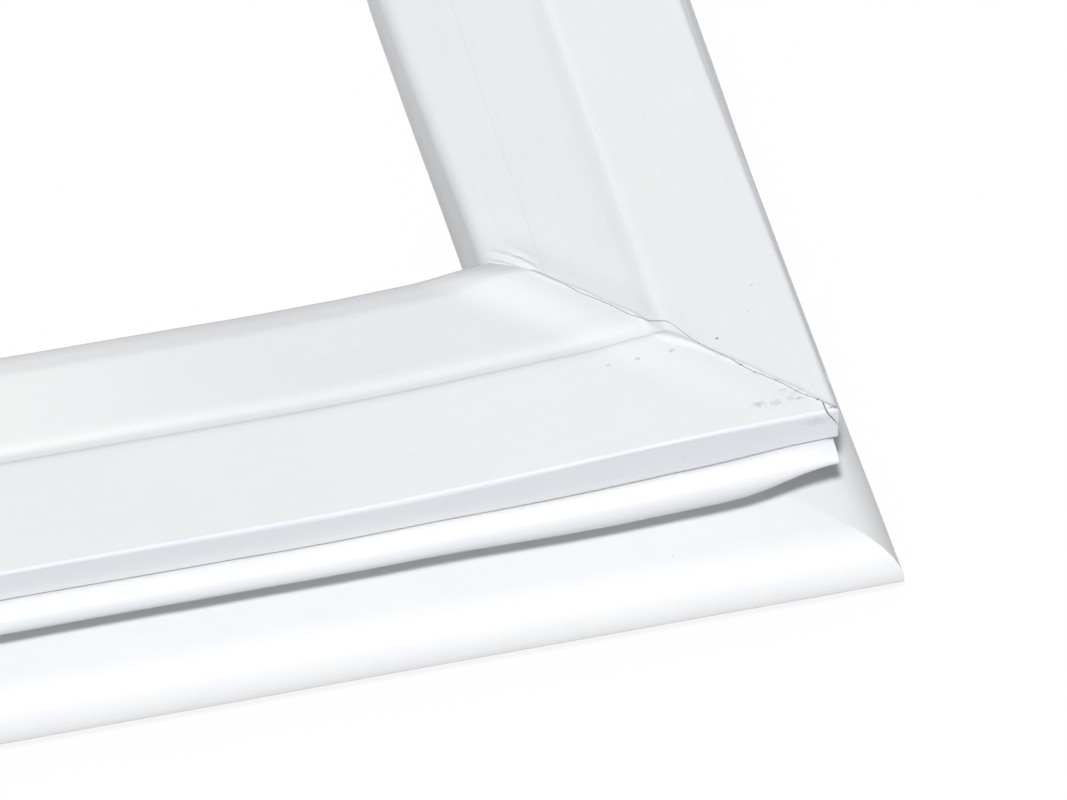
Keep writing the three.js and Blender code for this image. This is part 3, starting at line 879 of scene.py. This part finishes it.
def marks_group(section):
    """The dirt spots of the first corner."""
    tree, w, given, out = new_group("gasket_corner_marks", [
        ("Millimetres", VECTOR, None)], [("Mask", FLOAT)])
    spot = spot_group()
    total = None
    for name, (in_x, in_y, below), size, ragged, strength in CORNER_MARKS:
        centre = (section.half_x + in_x, in_y - section.half_y, section.pocket_top - below)
        made = w.group(spot, Point=given["Millimetres"], Centre=centre, Size=size, Raggedness=ragged)
        made.label = name
        mask = w.times(made.outputs[0], strength)
        total = mask if total is None else w.math("MAXIMUM", total, mask)
    w.feed(out["Mask"], total)
    return tree


def speckle_group():
    """Sparse small specks all over."""
    tree, w, given, out = new_group("gasket_specks", [
        ("Millimetres", VECTOR, None), ("Cell", FLOAT, 6.0), ("Kept", FLOAT, 0.12),
        ("Radius", FLOAT, 0.1)], [("Mask", FLOAT)])
    scale = w.math("DIVIDE", 1.0, given["Cell"])
    cells = w.node("ShaderNodeTexVoronoi", Vector=given["Millimetres"], Scale=scale)
    distance = w.times(cells.outputs["Distance"], given["Cell"])
    chance = w.node("ShaderNodeSeparateColor", Color=cells.outputs["Color"])
    radius = w.times(given["Radius"], w.math("ADD", 0.4, chance.outputs[1]))
    dot = w.math("SUBTRACT", 1.0, w.math("DIVIDE", distance, radius), clamp=True)
    kept = w.math("LESS_THAN", chance.outputs[0], given["Kept"])
    strength = w.math("ADD", 0.3, w.times(chance.outputs[2], 0.7))
    w.feed(out["Mask"], w.times(w.times(dot, kept), strength))
    return tree


def drawing_group():
    """Fine lines that run along the profile, as the die leaves them."""
    tree, w, given, out = new_group("gasket_die_lines", [
        ("Across", FLOAT, 0.0), ("From Corner", FLOAT, 0.0),
        ("Height", FLOAT, 0.0)], [("Value", FLOAT)])
    girth = w.math("ADD", given["Across"], w.times(given["Height"], 1.7))
    stretched = w.combine(girth, w.times(given["From Corner"], 0.012), 0.0)
    w.feed(out["Value"], w.noise(stretched, 1.6, 5.0, 0.7))
    return tree


# Tints that multiply the PVC's colour: faint clouds and streaks of its own, then painted shade on the
# inner band, the long sides' crease and rim, the pocket's wall, the lobe and the short sides' fold
# line; and the paler tone of the long sides' inner panels, which is painted light
CLOUD_TINT = (0.975, 0.982, 1.0, 1)
STREAK_TINT = (0.965, 0.97, 0.98, 1)
BAND_SHADE_TINT = (0.93, 0.94, 0.955, 1)
CREASE_SHADE_TINT = (0.9, 0.905, 0.91, 1)
RIM_SHADE_TINT = (0.82, 0.84, 0.85, 1)
WALL_SHADE_TINT = (0.915, 0.93, 0.965, 1)
LOBE_SHADE_TINT = (0.955, 0.965, 0.975, 1)
FOLD_SHADE_TINT = (0.9, 0.92, 0.92, 1)
PANEL_LIGHT_TONE = (0.945, 0.947, 0.942, 1)


def mottle(w, colour, millimetres, lines):
    """Faint clouds, and streaks along the die's lines."""
    cloud = w.smooth(w.noise(millimetres, 0.16, 3.0), 0.3, 0.7)
    colour = w.blend(w.times(cloud, 0.55), colour, CLOUD_TINT, "MULTIPLY")
    streaks = w.smooth(lines, 0.35, 0.75)
    return w.blend(w.times(streaks, 0.5), colour, STREAK_TINT, "MULTIPLY")


def shade_and_light_panels(w, colour, section, where, high):
    """Painted shade on the inner band, painted light that makes the long sides' inner panels paler
    away from the corners, and painted shade in their crease and on their rim.
    """
    s = section
    across, from_corner, short = where["Across"], where["From Corner"], where["Short Side"]
    # Painted shade on the inner band, where the top rolls over towards the rim.
    inner = w.times(w.smooth(across, s.panel_u + 0.5, s.panel_u - 1.2), high)
    inner = w.times(inner, w.math("ADD", 0.4, w.times(short, 0.6)))
    colour = w.blend(w.times(inner, 0.35), colour, BAND_SHADE_TINT, "MULTIPLY")
    # Painted light: the long sides' inner panels paler away from the corners.
    panel = w.times(w.smooth(across, s.rim_u + 0.2, s.rim_u + 1.0),
                   w.smooth(across, s.crease_u - 0.3, s.crease_u - 1.0))
    long_side = w.math("SUBTRACT", 1.0, short)
    far = w.times(w.smooth(from_corner, 38.0, 75.0), long_side)
    lit_panel = w.times(panel, far)
    colour = w.blend(w.times(lit_panel, high), colour, PANEL_LIGHT_TONE)
    # Painted shade in the long sides' crease.
    crease = w.times(w.bell(across, s.crease_u - 0.15, 0.4),
                    w.smooth(from_corner, 13.0, 19.0))
    crease = w.times(w.times(crease, long_side), high)
    colour = w.blend(crease, colour, CREASE_SHADE_TINT, "MULTIPLY")
    # Painted shade on the long sides' rim.
    rim = w.times(w.smooth(across, s.rim_u + 0.3, s.rim_u + 0.1), long_side)
    return w.blend(w.times(rim, high), colour, RIM_SHADE_TINT, "MULTIPLY")


def shade_walls(w, colour, section, where):
    """Painted shade on the pocket's outer wall, its top edge and the lobe, which also makes them a
    little bluer than the top.
    """
    s = section
    across, height = where["Across"], where["Height"]
    wall = w.times(w.smooth(across, -0.55, -0.3),
                  w.smooth(height, s.lobe_z, s.pocket_bottom))
    colour = w.blend(wall, colour, WALL_SHADE_TINT, "MULTIPLY")
    lobe = w.times(w.smooth(across, 0.0, 0.3),
                  w.smooth(height, s.pocket_bottom, s.lobe_z))
    lobe = w.times(lobe, w.smooth(height, s.base_top + 1.0, s.base_top + 3.0))
    return w.blend(lobe, colour, LOBE_SHADE_TINT, "MULTIPLY")


def fold_shade(w, colour, section, where, lines):
    """Painted shade along the faint line of an old fold on the short sides' inner panels."""
    fold = w.bell(where["Across"], section.panel_u + 1.2, 0.07)
    fold = w.times(fold, where["Short Side"])
    fold = w.times(fold, w.smooth(lines, 0.3, 0.5))
    return w.blend(w.times(fold, 0.6), colour, FOLD_SHADE_TINT, "MULTIPLY")


def dirt_and_weld_shade(w, colour, section, finish, where, marks):
    """Dirt along the welds with painted shade in their crack, sparse specks, and the first corner's
    marks.
    """
    grime_and_shade = (*finish.grime_and_shade_colour, 1)
    millimetres = where["Millimetres"]
    weld = w.group(weld_group(section), Across=where["Across"], Beside=where["Beside"],
                   Height=where["Height"], First_Corner=where["First Corner"]).outputs
    colour = w.blend(w.times(weld["Halo"], 0.1), colour, grime_and_shade)
    # The weld's line: dirt, and painted shade in the weld's crack.
    colour = w.blend(w.times(weld["Line"], 0.9), colour, grime_and_shade)
    specks = w.group(speckle_group(), Millimetres=millimetres, Cell=7.0, Kept=0.1,
                     Radius=0.16).outputs[0]
    colour = w.blend(w.times(specks, 0.6), colour, grime_and_shade)
    return w.blend(marks, colour, grime_and_shade)


def pvc_material(section, finish):
    """White flexible PVC, toned by place along the section with painted light and shade, with dirt in
    the welds.
    """
    material = bpy.data.materials.new("white_pvc_skin")
    material.use_nodes = True
    w = Wiring(material.node_tree)
    shader = material.node_tree.nodes["Principled BSDF"]
    where = w.group(place_group(section)).outputs
    millimetres, across, height = where["Millimetres"], where["Across"], where["Height"]

    # Painted light: the magnet pocket gets the paler pocket colour.
    over_pocket = w.smooth(across, section.crease_u - 0.5, section.crease_u + 0.6)
    high = w.smooth(height, section.pocket_bottom - 2.6, section.pocket_bottom - 1.6)
    lit_pocket_mask = w.times(over_pocket, high)
    colour = w.blend(lit_pocket_mask, (*finish.pvc_colour, 1), (*finish.lit_pocket_colour, 1))
    lines = w.group(drawing_group(), Across=across, From_Corner=where["From Corner"],
                    Height=height).outputs[0]
    colour = mottle(w, colour, millimetres, lines)
    colour = shade_and_light_panels(w, colour, section, where, high)
    colour = shade_walls(w, colour, section, where)
    colour = fold_shade(w, colour, section, where, lines)
    marks = w.group(marks_group(section), Millimetres=millimetres).outputs[0]
    colour = dirt_and_weld_shade(w, colour, section, finish, where, marks)

    fine = w.noise(millimetres, 1.1, 4.0, 0.6)
    rough = w.math("ADD", 0.36, w.times(fine, 0.14))
    rough = w.math("ADD", rough, w.times(marks, 0.2))
    grain = w.noise(millimetres, 4.0, 3.0, 0.6)
    surface = w.math("ADD", w.times(grain, 0.01), w.times(lines, 0.05))
    bump = w.node("ShaderNodeBump", Strength=0.3, Distance=MM, Height=surface)
    w.feed(shader.inputs["Base Color"], colour)
    w.feed(shader.inputs["Roughness"], rough)
    w.feed(shader.inputs["Normal"], bump.outputs[0])
    shader.inputs["Subsurface Weight"].default_value = 0.12
    shader.inputs["Subsurface Radius"].default_value = (1.0, 0.9, 0.8)
    shader.inputs["Subsurface Scale"].default_value = 0.5 * MM
    shader.inputs["Specular IOR Level"].default_value = 0.4
    return material


def magnet_material(finish):
    """Matt rubber filled with ferrite powder, with the die's lines along it."""
    material = bpy.data.materials.new("magnet_strip_ferrite")
    material.use_nodes = True
    w = Wiring(material.node_tree)
    shader = material.node_tree.nodes["Principled BSDF"]
    position = w.node("ShaderNodeTexCoord").outputs["Object"]
    millimetres = w.vector_math("MULTIPLY", position, (1000.0, 1000.0, 1000.0))
    grain = w.noise(millimetres, 2.5, 5.0, 0.7)
    dark = tuple(value * 0.7 for value in finish.magnet_colour)
    colour = w.blend(w.smooth(grain, 0.35, 0.7), (*dark, 1), (*finish.magnet_colour, 1))
    w.feed(shader.inputs["Base Color"], colour)
    w.feed(shader.inputs["Roughness"], w.math("ADD", 0.6, w.times(grain, 0.2)))
    bump = w.node("ShaderNodeBump", Strength=0.4, Distance=0.05 * MM, Height=grain)
    w.feed(shader.inputs["Normal"], bump.outputs[0])
    return material


class GASKET_OT_frame(bpy.types.Operator):
    """Build the welded PVC frame over the solid"""

    bl_idname = "gasket.frame"
    bl_label = "Build welded frame"

    def execute(self, context):
        section = Section(context.scene.gasket_profile)
        outer = loop_mesh("outer", section, profile_outline(section), outer=True)
        cutters = [
            loop_mesh("chamber", section, chamber_outline(section)),
            loop_mesh("bore", section, bore_outline(section)),
        ]
        mesh = cut_mesh(outer, cutters + corner_cuts(section))
        mesh.name = "gasket_skin"
        mesh.shade_smooth()
        mesh.set_sharp_from_angle(angle=math.radians(38))
        skin = bpy.data.objects.new("gasket_skin", mesh)
        context.scene.collection.objects.link(skin)
        mesh.materials.clear()
        mesh.materials.append(pvc_material(section, context.scene.gasket_finish))
        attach(skin, "root")
        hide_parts("gasket_frame")
        return {"FINISHED"}


class GASKET_OT_magnets(bpy.types.Operator):
    """Give the magnet strips their finish"""

    bl_idname = "gasket.magnets"
    bl_label = "Finish magnet strips"

    def execute(self, context):
        material = magnet_material(context.scene.gasket_finish)
        for name in MAGNET_NODES:
            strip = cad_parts[name]
            strip.material_slots[0].material = material
        return {"FINISHED"}


class GASKET_OT_stage(bpy.types.Operator):
    """Set the floor, the lights and the camera"""

    bl_idname = "gasket.stage"
    bl_label = "Set stage"

    def execute(self, context):
        stage = context.scene.gasket_stage
        section = Section(context.scene.gasket_profile)
        add_floor(stage)
        add_lights(stage)
        add_camera(stage, section)
        context.scene.view_settings.view_transform = "Standard"
        return {"FINISHED"}


# The key light's direction, towards it
KEY_DIRECTION = (-0.193, -0.535, 0.823)
KEY_ANGLE = math.radians(3.5)
FILL_COLOUR = (0.93, 0.97, 1.0)
FLOOR_GLOW = 0.9
FLOOR_SEEN = 0.98
FLOOR_BOUNCE = 0.5
CAMERA_RIGHT = -25.47
CAMERA_UP = 0.7955
SENSOR_WIDTH = 36.0


def add_floor(stage):
    """A white floor: the camera sees it nearly glowing, and it throws back half of the light."""
    built = bmesh.new()
    bmesh.ops.create_grid(built, x_segments=1, y_segments=1, size=stage.floor_size / 2)
    mesh = bpy.data.meshes.new("floor")
    built.to_mesh(mesh)
    built.free()
    floor = bpy.data.objects.new("floor", mesh)
    floor.location.z = -0.05 * MM
    bpy.context.scene.collection.objects.link(floor)
    material = bpy.data.materials.new("floor_white")
    material.use_nodes = True
    nodes = material.node_tree.nodes
    nodes.remove(nodes["Principled BSDF"])
    w = Wiring(material.node_tree)
    path = w.node("ShaderNodeLightPath").outputs
    seen = w.math("ADD", path["Is Camera Ray"], path["Is Glossy Ray"], clamp=True)
    bounce, bright = (FLOOR_BOUNCE,) * 3 + (1,), (FLOOR_SEEN,) * 3 + (1,)
    paint = w.node("ShaderNodeBsdfDiffuse", Color=w.blend(seen, bounce, bright))
    glow = w.node("ShaderNodeEmission", Strength=1.0)
    mix = w.node("ShaderNodeMixShader")
    w.feed(mix.inputs["Fac"], w.times(seen, FLOOR_GLOW))
    w.feed(mix.inputs[1], paint.outputs[0])
    w.feed(mix.inputs[2], glow.outputs[0])
    w.feed(nodes["Material Output"].inputs["Surface"], mix.outputs[0])
    mesh.materials.append(material)


def add_lights(stage):
    lamp = bpy.data.lights.new("key", "SUN")
    lamp.energy = stage.key_strength
    lamp.angle = KEY_ANGLE
    key = bpy.data.objects.new("key", lamp)
    key.rotation_euler = Vector(KEY_DIRECTION).to_track_quat("Z", "Y").to_euler()
    bpy.context.scene.collection.objects.link(key)
    world = bpy.data.worlds.new("studio")
    bpy.context.scene.world = world
    world.use_nodes = True
    nodes = world.node_tree.nodes
    w = Wiring(world.node_tree)
    fill = nodes["Background"]
    fill.inputs["Color"].default_value = (*FILL_COLOUR, 1)
    fill.inputs["Strength"].default_value = stage.fill_strength
    white = w.node("ShaderNodeBackground", Color=(1, 1, 1, 1), Strength=1.0)
    mix = w.node("ShaderNodeMixShader")
    w.feed(mix.inputs["Fac"], w.node("ShaderNodeLightPath").outputs["Is Camera Ray"])
    w.feed(mix.inputs[1], fill.outputs[0])
    w.feed(mix.inputs[2], white.outputs[0])
    w.feed(nodes["World Output"].inputs["Surface"], mix.outputs[0])


def add_camera(stage, section):
    azimuth, elevation = stage.camera_azimuth, stage.camera_elevation
    back = Vector((
        math.sin(azimuth) * math.cos(elevation),
        -math.cos(azimuth) * math.cos(elevation),
        math.sin(elevation),
    ))
    right = Vector((math.cos(azimuth), math.sin(azimuth), 0))
    up = back.cross(right)
    corner = Vector((section.half_x, -section.half_y, section.pocket_top)) * MM
    target = corner + (right * CAMERA_RIGHT + up * CAMERA_UP) * MM
    data = bpy.data.cameras.new("camera")
    data.sensor_fit = "HORIZONTAL"
    data.sensor_width = SENSOR_WIDTH
    data.lens = SENSOR_WIDTH * stage.camera_distance / stage.view_width
    data.clip_start = 10 * MM
    data.clip_end = 20
    camera = bpy.data.objects.new("camera", data)
    camera.location = target + back * stage.camera_distance
    camera.rotation_euler = back.to_track_quat("Z", "Y").to_euler()
    bpy.context.scene.collection.objects.link(camera)
    bpy.context.scene.camera = camera


class GASKET_PT_panel(bpy.types.Panel):
    """Sizes, colours and build steps of the door gasket"""

    bl_label = "Door gasket"
    bl_idname = "GASKET_PT_panel"
    bl_space_type = "VIEW_3D"
    bl_region_type = "UI"
    bl_category = "Gasket"

    def draw(self, context):
        scene = context.scene
        for group in (scene.gasket_profile, scene.gasket_finish, scene.gasket_stage):
            box = self.layout.box()
            for name in group.__annotations__:
                box.prop(group, name)
        for operator in OPERATORS:
            self.layout.operator(operator.bl_idname)


GROUPS = (GasketProfile, GasketFinish, GasketStage)
OPERATORS = (GASKET_OT_frame, GASKET_OT_magnets, GASKET_OT_stage)


def register():
    for cls in (*GROUPS, *OPERATORS, GASKET_PT_panel):
        bpy.utils.register_class(cls)
    bpy.types.Scene.gasket_profile = bpy.props.PointerProperty(type=GasketProfile)
    bpy.types.Scene.gasket_finish = bpy.props.PointerProperty(type=GasketFinish)
    bpy.types.Scene.gasket_stage = bpy.props.PointerProperty(type=GasketStage)


def unregister():
    del bpy.types.Scene.gasket_stage
    del bpy.types.Scene.gasket_finish
    del bpy.types.Scene.gasket_profile
    for cls in reversed((*GROUPS, *OPERATORS, GASKET_PT_panel)):
        bpy.utils.unregister_class(cls)


def main():
    register()
    bpy.ops.gasket.frame()
    bpy.ops.gasket.magnets()
    bpy.ops.gasket.stage()


if __name__ == "__main__":
    main()
